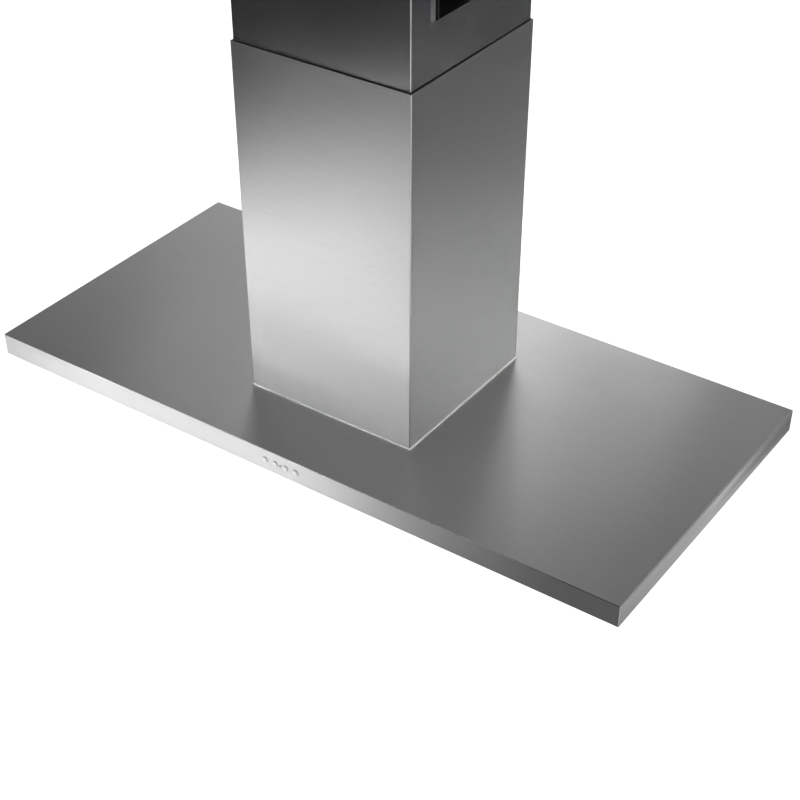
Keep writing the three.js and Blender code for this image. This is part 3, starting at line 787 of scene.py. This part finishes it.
def expanded_mesh_group():
    """Rows of zigzag strands whose tips meet, over Width by Depth about the origin."""
    inputs = [
        ("Geometry", GEOMETRY, None),
        ("Width", FLOAT, 0.2),
        ("Depth", FLOAT, 0.2),
        ("Diamond Width", FLOAT, 0.009),
        ("Diamond Depth", FLOAT, 0.0045),
        ("Strand", FLOAT, 0.0009),
        ("Material", MATERIAL, None),
    ]
    outputs = [("Geometry", GEOMETRY)]
    group, tree, take, give = new_group("Expanded Mesh", inputs, outputs, "GeometryNodeTree")
    width, depth = take.outputs["Width"], take.outputs["Depth"]
    step = tree.math("MULTIPLY", take.outputs["Diamond Width"], 0.5)
    row = take.outputs["Diamond Depth"]
    points = tree.math("ADD", tree.math("FLOOR", tree.math("DIVIDE", width, step)), 1.0)
    rows = tree.math("FLOOR", tree.math("DIVIDE", depth, row))
    line = tree.add("GeometryNodeMeshLine", mode="OFFSET")
    tree.feed(line.inputs["Count"], points)
    tree.feed(line.inputs["Offset"], tree.xyz(X=step))
    odd = tree.math("MODULO", tree.add("GeometryNodeInputIndex").outputs[0], 2.0)
    swing = tree.math("MULTIPLY", tree.math("SUBTRACT", odd, 0.5), row)
    tilt = tree.math("MULTIPLY", tree.math("SUBTRACT", odd, 0.5), take.outputs["Strand"])
    zigzag = tree.add("GeometryNodeSetPosition", {"Geometry": line.outputs[0]})
    tree.feed(zigzag.inputs["Offset"], tree.xyz(Y=swing, Z=tilt))
    curve = tree.add("GeometryNodeMeshToCurve", {"Mesh": zigzag.outputs[0]})
    shape = tree.add("GeometryNodeCurvePrimitiveQuadrilateral", mode="RECTANGLE")
    tree.feed(shape.inputs["Width"], take.outputs["Strand"])
    tree.feed(shape.inputs["Height"], tree.math("MULTIPLY", take.outputs["Strand"], 0.6))
    strand = tree.add("GeometryNodeCurveToMesh", {"Curve": curve.outputs[0]})
    tree.feed(strand.inputs["Profile Curve"], shape.outputs[0])
    tree.feed(strand.inputs["Fill Caps"], True)
    lines = tree.add("GeometryNodeMeshLine", mode="OFFSET")
    tree.feed(lines.inputs["Count"], rows)
    tree.feed(lines.inputs["Offset"], tree.xyz(Y=row))
    # every second row is turned end for end, so that the tips of the zigzags meet
    flip = tree.math("SUBTRACT", 1.0, tree.math("MULTIPLY", odd, 2.0))
    sheet = tree.add("GeometryNodeInstanceOnPoints", {"Points": lines.outputs[0]})
    tree.feed(sheet.inputs["Instance"], strand.outputs[0])
    tree.feed(sheet.inputs["Scale"], tree.xyz(X=1.0, Y=flip, Z=flip))
    real = tree.add("GeometryNodeRealizeInstances", {0: sheet.outputs[0]})
    back = tree.add("ShaderNodeCombineXYZ")
    for axis, count, pitch in (("X", points, step), ("Y", rows, row)):
        extent = tree.math("MULTIPLY", tree.math("SUBTRACT", count, 1.0), pitch)
        tree.feed(back.inputs[axis], tree.math("MULTIPLY", extent, -0.5))
    centred = tree.add("GeometryNodeSetPosition", {"Geometry": real.outputs[0], "Offset": back.outputs[0]})
    dressed = tree.add("GeometryNodeSetMaterial", {"Geometry": centred.outputs[0]})
    tree.feed(dressed.inputs["Material"], take.outputs["Material"])
    tree.feed(give.inputs["Geometry"], dressed.outputs[0])
    return group


SET_OUT, EXPANDED_MESH = set_out_group(), expanded_mesh_group()


def grown(group, base, **values):
    """What a geometry node group makes of the base mesh, as a plain mesh. values are its inputs."""
    scratch = bpy.data.objects.new("scratch", base)
    bpy.context.scene.collection.objects.link(scratch)
    modifier = scratch.modifiers.new("nodes", "NODES")
    modifier.node_group = group
    sockets = {s.name: s.identifier for s in group.interface.items_tree if s.in_out == "INPUT"}
    for name, value in values.items():
        modifier[sockets[name.replace("_", " ")]] = value
    made = bpy.data.meshes.new_from_object(scratch.evaluated_get(bpy.context.evaluated_depsgraph_get()))
    bpy.data.objects.remove(scratch)
    return made


def set_out(name, body, slot, part, places, size, material, turn=3.14, seed=3):
    """Copies of a part at places, each (point, facing), as one piece on a body."""
    base = bpy.data.meshes.new(name)
    base.from_pydata([point for point, _ in places], [], [])
    facing = base.attributes.new("facing", "FLOAT_VECTOR", "POINT")
    for i, (_, direction) in enumerate(places):
        facing.data[i].vector = direction
    pattern = bpy.data.objects.new("pattern", part)
    bpy.context.scene.collection.objects.link(pattern)
    made = grown(SET_OUT, base, Part=pattern, Size=size, Turn=turn, Seed=seed, Material=material)
    bpy.data.objects.remove(pattern)
    return new_piece(name, made, body, slot, material)


SCREW_HEAD = screw_head()
UP, DOWN, FRONT = Vector((0, 0, 1)), Vector((0, 0, -1)), Vector((0, -1, 0))
LEFT, RIGHT = Vector((-1, 0, 0)), Vector((1, 0, 0))


# ---- Flues and canopy ------------------------------------------------


def fold_outside(node):
    """Picks the upright edges on the outside of a square flue."""
    low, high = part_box(node)

    def pick(edge):
        at = edge.verts[0].co
        outside = all(min(abs(at[i] - low[i]), abs(at[i] - high[i])) < SAME for i in (0, 1))
        return outside and is_upright(edge)

    return pick


def build_flues():
    shells = []
    for node, steel in (("lower_flue", FLUE_STEEL), ("upper_flue", SHADED_FLUE_STEEL)):
        mesh = softened(node, 0.2 * MM, fold_outside(node), 1.5 * MM, segments=4, wear_and_highlight=True)
        shells.append(dress(node, mesh, f"{node}_shell", steel, FOLD_STEEL))
    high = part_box("flue_base_collar")[1]

    def rim(edge):
        ends = [vertex.co for vertex in edge.verts]
        return all(p.z > high.z - SAME and max(abs(p.x), abs(p.y)) > high.x - SAME for p in ends)

    collar = softened("flue_base_collar", 0.2 * MM, rim, 1.1 * MM, segments=3)
    trim = dress("flue_base_collar", collar, "flue_base_trim", HIGHLIT_TRIM_STEEL)
    light_alone("flues", shells, shells)
    light_alone("upper flue", shells[1:], shells)
    light_alone("base trim", [trim], shells)


def build_canopy():
    def fold(edge):
        """Picks the edges where two of the canopy's outer faces meet."""
        ends = [vertex.co for vertex in edge.verts]
        faces = 0
        for axis in range(3):
            sides = (CANOPY_LOW[axis], CANOPY_HIGH[axis])
            faces += any(all(abs(p[axis] - side) < SAME for p in ends) for side in sides)
        return faces >= 2

    mesh = softened("canopy_shell", 0.25 * MM, fold, 1.5 * MM, segments=4, wear_and_highlight=True)
    body = dress("canopy_shell", mesh, "canopy_body", CANOPY_STEEL, FOLD_STEEL)
    light_alone("canopy", [body], [body])


BUTTON_RADIUS, BUTTON_FLANGE, BUTTON_STEM = 4.8 * MM, 6 * MM, 2.5 * MM
FLANGE_FROM, FLANGE_TO, STEM_END = -1.6 * MM, -3 * MM, -12 * MM
RING_INNER, RING_OUTER, RING_RISE, RING_FOOT = 5.25 * MM, 6.3 * MM, 0.3 * MM, -0.8 * MM
# How far the cap's dome has dropped at each share of its radius.
BUTTON_DOME = ((0, 0), (0.45, 0.03), (0.8, 0.12), (0.92, 0.25), (0.98, 0.45), (1, 0.7))


def build_buttons():
    """Domed push buttons, each in a thin pressed ring, and the indicator between them."""
    face = CANOPY_LOW.y
    rings = []
    for i in range(1, 5):
        low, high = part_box(f"button_{i}")
        centre, proud = (low + high) / 2, face - low.y
        cap = [(share * BUTTON_RADIUS, proud - drop * MM) for share, drop in BUTTON_DOME]
        cap += [(BUTTON_RADIUS, FLANGE_FROM), (BUTTON_FLANGE, FLANGE_FROM), (BUTTON_FLANGE, FLANGE_TO)]
        cap += [(BUTTON_STEM, FLANGE_TO), (BUTTON_STEM, STEM_END), (0, STEM_END)]
        mesh = placed(lathe(f"button {i}", cap), (centre.x, face, centre.z), FRONT)
        dress(f"button_{i}", mesh, f"button_cap_{i}", SATIN)
        ring = [(RING_INNER, RING_FOOT), (RING_INNER, 0.7 * RING_RISE), (RING_INNER + 0.0002, RING_RISE)]
        ring += [(RING_OUTER - 0.0005, RING_RISE), (RING_OUTER - 0.0001, 0.5 * RING_RISE), (RING_OUTER, 0.0)]
        rings.append(placed(lathe("ring", ring, ring=True), (centre.x, face, centre.z), FRONT))
    new_piece("button_rings", joined("button rings", rings), "hood", "polished_trim", SATIN)
    low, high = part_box("indicator_lens")
    centre, radius, foot = (low + high) / 2, (high.x - low.x) / 2, face - high.y
    dome = [(0, 0.3 * MM), (0.6 * radius, 0.22 * MM), (0.9 * radius, 0.0), (radius, -0.3 * MM)]
    mesh = lathe("indicator", [*dome, (radius, foot), (0, foot)], 24)
    dress("indicator_lens", placed(mesh, (centre.x, face, centre.z), FRONT), "indicator_dome", INDICATOR)


# ---- Underside -------------------------------------------------------


def build_underside():
    eased("underside_panel", "underside_sheet", 0.3)
    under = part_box("underside_panel")[0].z
    spots = [(x * MM, y * MM) for x in (-575, -155, 155, 575) for y in (-262, 262)]
    places = [(Vector((x, y, under)), DOWN) for x, y in spots]
    set_out("underside_screws", "hood", "polished_trim", SCREW_HEAD, places, 3.2 * MM, SCREW)


LAMP_TUBE, LAMP_CUP, LAMP_SEAT, LAMP_WALL = 30.2 * MM, 27 * MM, 0.9 * MM, 4 * MM
LENS_PRISMS, PRISM_WIDTH, PRISM_RISE = 9, 0.9 * MM, 0.16 * MM


def build_lamps():
    for corner in CORNERS:
        low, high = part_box(f"lamp_cup_{corner}")
        centre, flange = (low + high) / 2, (high.x - low.x) / 2
        base, seat, top, tube, cup = low.z, low.z + LAMP_SEAT, high.z, LAMP_TUBE, LAMP_CUP
        outline = [(0, top), (tube - 1 * MM, top), (tube, top - 1 * MM), (tube, seat), (flange, seat)]
        outline += [(flange, seat - 0.25 * MM), (flange - 0.35 * MM, base + 0.2 * MM)]
        outline += [(flange - 1.2 * MM, base), (cup + 1.4 * MM, base)]
        outline += [(cup + 0.5 * MM, base + 0.25 * MM), (cup, base + 0.9 * MM)]
        outline += [(cup, seat + 3 * MM), (cup - LAMP_WALL, top - LAMP_WALL), (0, top - LAMP_WALL)]
        mesh = placed(lathe(f"lamp trim {corner}", outline, 64), (centre.x, centre.y, 0))
        dress(f"lamp_cup_{corner}", mesh, f"lamp_trim_{corner}")
        low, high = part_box(f"lamp_lens_{corner}")
        radius = (high.x - low.x) / 2
        outline = [(0, high.z), (radius, high.z), (radius, low.z + 0.5 * MM)]
        for i in range(LENS_PRISMS):
            r = radius * (1 - (i + 0.4) / (LENS_PRISMS + 0.4))
            dome = low.z + 0.4 * MM * (r / radius) ** 2
            outline += [(r + PRISM_WIDTH, dome + PRISM_RISE), (r, dome)]
        outline.append((0, low.z))
        mesh = placed(lathe(f"lamp lens {corner}", outline, 48), (centre.x, centre.y, 0))
        dress(f"lamp_lens_{corner}", mesh, f"lamp_glass_{corner}")


# A filter's layers: height as a share of the pack's, diamond width, diamond depth and strand in mm.
FILTER_LAYERS = ((0.18, 13.0, 6.4, 1.5), (0.52, 13.6, 6.0, 1.3), (0.84, 8.0, 4.0, 1.1))
FRAME_BORDER, FRAME_FRONT, HINGE_TABS = 16 * MM, 40 * MM, 8 * MM


def build_filters():
    for side in SIDES:
        body = f"filter_{side}"
        node = f"filter_frame_{side}"
        eased(node, f"filter_rails_{side}", 0.9, 3)
        low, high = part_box(node)
        left, right = low.x + FRAME_BORDER / 2, high.x - FRAME_BORDER / 2
        near, far = low.y + FRAME_FRONT / 2, high.y - HINGE_TABS - FRAME_BORDER / 2
        corners = ((left, near), (right, near), (left, far), (right, far))
        places = [(Vector((x, y, low.z)), DOWN) for x, y in corners]
        set_out(f"filter_rivets_{side}", body, "aluminium", rivet_head(), places, 2.2 * MM, ALUMINIUM)

        low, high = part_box(f"filter_mesh_{side}")
        size, centre = high - low, (high + low) / 2
        empty = bpy.data.meshes.new("empty")
        layers = []
        for level, wide, deep, strand in FILTER_LAYERS:
            measures = {"Width": size.x, "Depth": size.y, "Strand": strand * MM}
            measures |= {"Diamond Width": wide * MM, "Diamond Depth": deep * MM}
            layer = grown(EXPANDED_MESH, empty, Material=FILTER_WIRE, **measures)
            layer.transform(Matrix.Translation((centre.x, centre.y, low.z + level * size.z)))
            layers.append(layer)
        pack = joined("filter pack", layers)
        dress(f"filter_mesh_{side}", pack, f"filter_pack_{side}", FILTER_WIRE)

        node = f"filter_latch_{side}"
        eased(node, f"filter_pull_{side}", 0.6, 3)


def rivet_head():
    profile = [(1.0, 0.0), (0.98, 0.12), (0.8, 0.3), (0.45, 0.42), (0.0, 0.45)]
    return lathe("rivet head", [(0, 0)] + profile, 12)


# ---- Frames, ducts and blower ----------------------------------------

def fastened(name, node, places, size=3.0, material=None):
    """Screws on a node's body. places are (x, y, z, facing) in millimetres from the canopy's top."""
    spots = [(Vector((x * MM, y * MM, CANOPY_TOP + z * MM)), facing) for x, y, z, facing in places]
    set_out(name, body_of(NODES[node])[0], slot_of(node), SCREW_HEAD, spots, size * MM, material or SCREW)


def rib(width, depth, height, sunk=0.2, ease=0.25):
    """A small moulded rib on z = 0, in millimetres, with eased edges and a foot below z = 0."""
    bm = bmesh.new()
    bmesh.ops.create_cube(bm, size=1)
    size = Matrix.Diagonal((width * MM, depth * MM, (height + sunk) * MM, 1))
    bm.transform(Matrix.Translation((0, 0, (height - sunk) / 2 * MM)) @ size)
    bmesh.ops.bevel(bm, geom=bm.edges, offset=ease * MM, segments=1, affect="EDGES", profile=0.5)
    return finished(bm, "rib")


def corrugated(name, node, pitch=7.0, sides=72):
    """A round duct of thin ribbed aluminium."""
    low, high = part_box(node)
    outer, wall, ribs = high.x, 0.35 * MM, 1.0 * MM
    crest, flank, valley = outer - 0.1 * MM, outer - 0.4 * MM, outer - ribs + wall
    count = int((high.z - low.z) / (pitch * MM))
    step = (high.z - low.z) / count
    wave = [outer, crest, flank, valley, flank, crest]
    outside = [(wave[i % 6], low.z + step * i / 6) for i in range(6 * count + 1)]
    inside = [(radius - wall, height) for radius, height in reversed(outside)]
    return lathe(name, outside + inside, sides, ring=True)


def build_frames():
    for part in ("upper_upright", "lower_upright"):
        for corner in CORNERS:
            node = f"{part}_{corner}"
            eased(node, f"{part}_angle_{corner}", 0.25)
    eased("ceiling_plate", "ceiling_plate_pressing", 0.5, 3)
    eased("frame_base_ring", "frame_ring_plate", 0.4)
    places = [(x, y, 2.3, UP) for x in (-144, 144) for y in (-60, 60)]
    fastened("frame_ring_screws", "frame_base_ring", places, 2.6)
    eased("air_diverter", "air_diverter_moulding", 0.8, 3)
    dress("upper_duct", corrugated("upper duct", "upper_duct"), "upper_duct_hose")
    dress("lower_duct", corrugated("lower duct", "lower_duct"), "lower_duct_hose")


# Millimetres from the axis, and over the canopy's top.
CASING_HALF, CASING_SCREW_ROWS = 135, (18, 264)
OUTLET_SCREW, OUTLET_FLANGE_TOP = 74, 279.8


def build_blower():
    eased("blower_box", "blower_casing", 0.4)
    rows = [(side, along, z) for side in (-1, 1) for along in (-100, 0, 100) for z in CASING_SCREW_ROWS]
    places = [(x, side * CASING_HALF, z, Vector((0, side, 0))) for side, x, z in rows]
    places += [(side * CASING_HALF, y, z, Vector((side, 0, 0))) for side, y, z in rows]
    fastened("blower_casing_screws", "blower_box", places)
    for side in ("left", "right"):
        node = f"scroll_half_{side}"
        eased(node, f"fan_scroll_{side}", 0.4)
        node = f"damper_flap_{side}"
        eased(node, f"damper_leaf_{side}", 0.2, 1)
    dress("impeller", finished(solid_copy("impeller"), "impeller"), "fan_wheel")
    eased("motor_bracket", "motor_spider", 0.3)
    eased("outlet_spigot", "outlet_collar", 0.25)
    places = [(x * OUTLET_SCREW, y * OUTLET_SCREW, OUTLET_FLANGE_TOP, UP) for x in (-1, 1) for y in (-1, 1)]
    fastened("outlet_screws", "outlet_spigot", places, 2.6)
    build_motor()
    build_cartridges()
    build_capacitor()
    eased("control_box", "control_box_case", 1.0, 3)
    top = (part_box("control_box")[1].z - CANOPY_TOP) / MM
    places = [(x, y, top, UP) for x in (-136, -90) for y in (-57, 57)]
    fastened("control_box_screws", "control_box", places, 2.4)
    vents = [(x * MM, y * MM) for x in (-123, -113, -103) for y in (-34, -24, -14, -4)]
    places = [(Vector((x, y, CANOPY_TOP + top * MM)), UP) for x, y in vents]
    set_out("control_box_ribs", "hood", "grey_plastic", rib(5, 6.5, 0.7), places, 1.0, GREY, turn=0.0)
    eased("mains_inlet_gland", "mains_gland_nut", 0.3)
    eased("switch_housing", "switch_block", 0.8, 3)
    eased("led_driver", "lamp_driver_case", 2.0, 3)
    low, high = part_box("led_driver")
    middle, pitch = (low + high) / 2, (high.y - low.y) / 14
    places = [(Vector((middle.x, low.y + pitch * (i + 0.5), low.z)), DOWN) for i in range(2, 12)]
    set_out("lamp_driver_ribs", "hood", "white_plastic", rib(46, 3, 0.8), places, 1.0, WHITE, turn=0.0)


MOTOR_BORE, MOTOR_BORE_DEPTH, MOTOR_RIBS, RIB_DROP, RIB_SLOPE = 4.5 * MM, 6 * MM, 11, 1.2 * MM, 0.4 * MM


def build_motor():
    """The motor's can, with its rolled seams and cooling ribs."""
    low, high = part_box("motor")
    middle, length, radius = (low + high) / 2, high.x - low.x, (high.z - low.z) / 2
    start, stop = 8.5 * MM, length - 10.5 * MM
    can = [(0, 0), (0.55 * radius, 0), (0.62 * radius, 1.2 * MM), (0.9 * radius, 3 * MM)]
    can += [(0.98 * radius, 6 * MM), (radius, start)]
    pitch = (stop - start) / MOTOR_RIBS
    for i in range(MOTOR_RIBS):
        groove, land = start + pitch * (i + 0.3), start + pitch * (i + 0.7)
        can += [(radius, groove), (radius - RIB_DROP, groove + RIB_SLOPE)]
        can += [(radius - RIB_DROP, land), (radius, land + RIB_SLOPE)]
    can += [(radius, stop), (0.97 * radius, length - 7 * MM), (0.88 * radius, length - 4.5 * MM)]
    can += [(0.4 * radius, length - 2 * MM), (0.36 * radius, length), (MOTOR_BORE, length)]
    can += [(MOTOR_BORE, MOTOR_BORE_DEPTH), (0, MOTOR_BORE_DEPTH)]
    dress("motor", placed(lathe("motor", can, 48), (low.x, middle.y, middle.z), RIGHT), "motor_can")


SIDE_RIBS = 48
GRILLE_RINGS = ((36, 30), (45, 36), (54, 44), (62, 50))  # radius in millimetres, studs


def build_cartridges():
    """Round charcoal cartridges: a moulded drum with ribs round its side and studs on its face."""
    for side, outward in (("left", LEFT), ("right", RIGHT)):
        node = f"charcoal_filter_{side}"
        eased(node, f"charcoal_cartridge_{side}", 1.0)
        low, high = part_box(node)
        middle, radius = (low + high) / 2, (high.z - low.z) / 2
        face = Vector((high.x if side == "right" else low.x, middle.y, middle.z))
        slot, look = "charcoal_cartridge", CHARCOAL

        def spoke(share):
            angle = 2 * math.pi * share
            return Vector((0, math.cos(angle), math.sin(angle)))

        spokes = [spoke((i + 0.5) / SIDE_RIBS) for i in range(SIDE_RIBS)]
        places = [(middle + out * (radius - 0.2 * MM) + outward * 2 * MM, out) for out in spokes]
        set_out(f"cartridge_ribs_{side}", "hood", slot, rib(24, 1.8, 0.9), places, 1.0, look, turn=0.0)
        rings = [(ring * MM, i / count) for ring, count in GRILLE_RINGS for i in range(count)]
        places = [(face + spoke(share) * ring, outward) for ring, share in rings]
        set_out(f"cartridge_grille_{side}", "hood", slot, rivet_head(), places, 1.9 * MM, look)


def build_capacitor():
    low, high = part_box("run_capacitor")
    middle, radius, top, base = (low + high) / 2, (high.x - low.x) / 2, high.z, low.z
    # how far each point lies inside the can's radius, and its height, in millimetres
    foot = ((2, 0), (0.6, 0.6), (0, 2), (0, 6), (1.2, 7.2), (0, 8.4))
    lip = ((0, 2), (0.6, 0.6), (2, 0), (4, 0), (4.5, 1.5))
    can = [(0, base)] + [(radius - inside * MM, base + up * MM) for inside, up in foot]
    can += [(radius - inside * MM, top - down * MM) for inside, down in lip]
    can.append((0, top - 1.5 * MM))
    dress("run_capacitor", placed(lathe("capacitor", can, 48), (middle.x, middle.y, 0)), "capacitor_can")


build_flues()
build_canopy()
build_buttons()
build_underside()
build_lamps()
build_filters()
build_frames()
build_blower()

for node, part in NODES.items():
    look = SLOT_LOOKS[slot_of(node)]
    for place in part.material_slots:
        place.material = look
